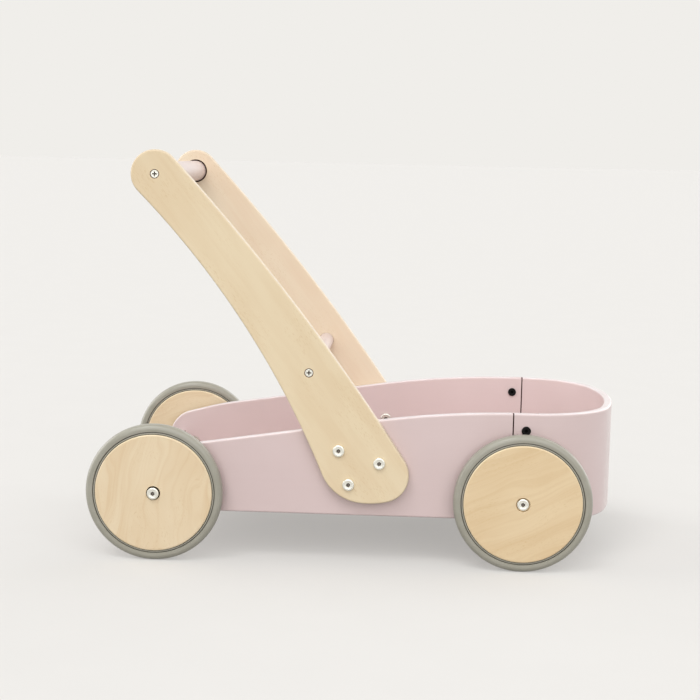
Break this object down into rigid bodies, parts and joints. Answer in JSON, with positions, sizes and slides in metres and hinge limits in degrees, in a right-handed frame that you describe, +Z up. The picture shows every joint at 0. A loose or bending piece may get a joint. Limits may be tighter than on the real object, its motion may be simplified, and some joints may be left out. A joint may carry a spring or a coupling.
{
  "type": "baby push walker",
  "caption": "Plywood baby push walker with an open tray, bent front bow, rubber-tyred disc wheels and bowed arms that carry a dowel push handle.",
  "frame": {"origin": "centre of the bounding box on the floor the wheels stand on", "axes": "+X forwards, away from the child who pushes, +Y to the child's left, +Z up"},
  "size_m": [0.583, 0.3326, 0.445],
  "materials": {
    "pink_paint": "satin dusty pink lacquer on birch plywood",
    "birch_ply": "clear matt lacquer on birch plywood",
    "pale_pink_wood": "satin pale pink lacquer on beech dowel",
    "grey_rubber": "smooth satin rubber",
    "black_nylon": "moulded matt",
    "zinc_steel": "bright zinc plate",
    "black_steel": "black oxide"
  },
  "bodies": {
    "frame": {"right_side_panel": "pink_paint", "left_side_panel": "pink_paint", "front_bow": "pink_paint", "floor_board": "pink_paint", "rear_board": "pink_paint", "right_arm": "birch_ply", "left_arm": "birch_ply", "push_handle": "pale_pink_wood", "lower_crossbar": "pale_pink_wood", "wheel_sleeves": "zinc_steel", "wheel_spacers": "black_nylon", "wheel_bolts": "zinc_steel", "wheel_nuts": "zinc_steel", "arm_bolts": "zinc_steel", "arm_nuts": "zinc_steel", "lap_bolts": "black_steel", "lap_nuts": "black_steel", "dowel_screws": "zinc_steel"},
    "front_right_wheel": {"front_right_disc": "birch_ply", "front_right_tyre": "grey_rubber", "front_right_bush": "black_nylon"},
    "front_left_wheel": {"front_left_disc": "birch_ply", "front_left_tyre": "grey_rubber", "front_left_bush": "black_nylon"},
    "rear_right_wheel": {"rear_right_disc": "birch_ply", "rear_right_tyre": "grey_rubber", "rear_right_bush": "black_nylon"},
    "rear_left_wheel": {"rear_left_disc": "birch_ply", "rear_left_tyre": "grey_rubber", "rear_left_bush": "black_nylon"}
  },
  "joints": [
    {"name": "front_right_wheel_spin", "type": "hinge", "parent": "frame", "child": "front_right_wheel", "pos_m": [0.1835, -0.155, 0.075], "axis": [0, 1, 0], "continuous": true},
    {"name": "front_left_wheel_spin", "type": "hinge", "parent": "frame", "child": "front_left_wheel", "pos_m": [0.1835, 0.155, 0.075], "axis": [0, 1, 0], "continuous": true},
    {"name": "rear_right_wheel_spin", "type": "hinge", "parent": "frame", "child": "rear_right_wheel", "pos_m": [-0.2165, -0.155, 0.075], "axis": [0, 1, 0], "continuous": true},
    {"name": "rear_left_wheel_spin", "type": "hinge", "parent": "frame", "child": "rear_left_wheel", "pos_m": [-0.2165, 0.155, 0.075], "axis": [0, 1, 0], "continuous": true}
  ]
}
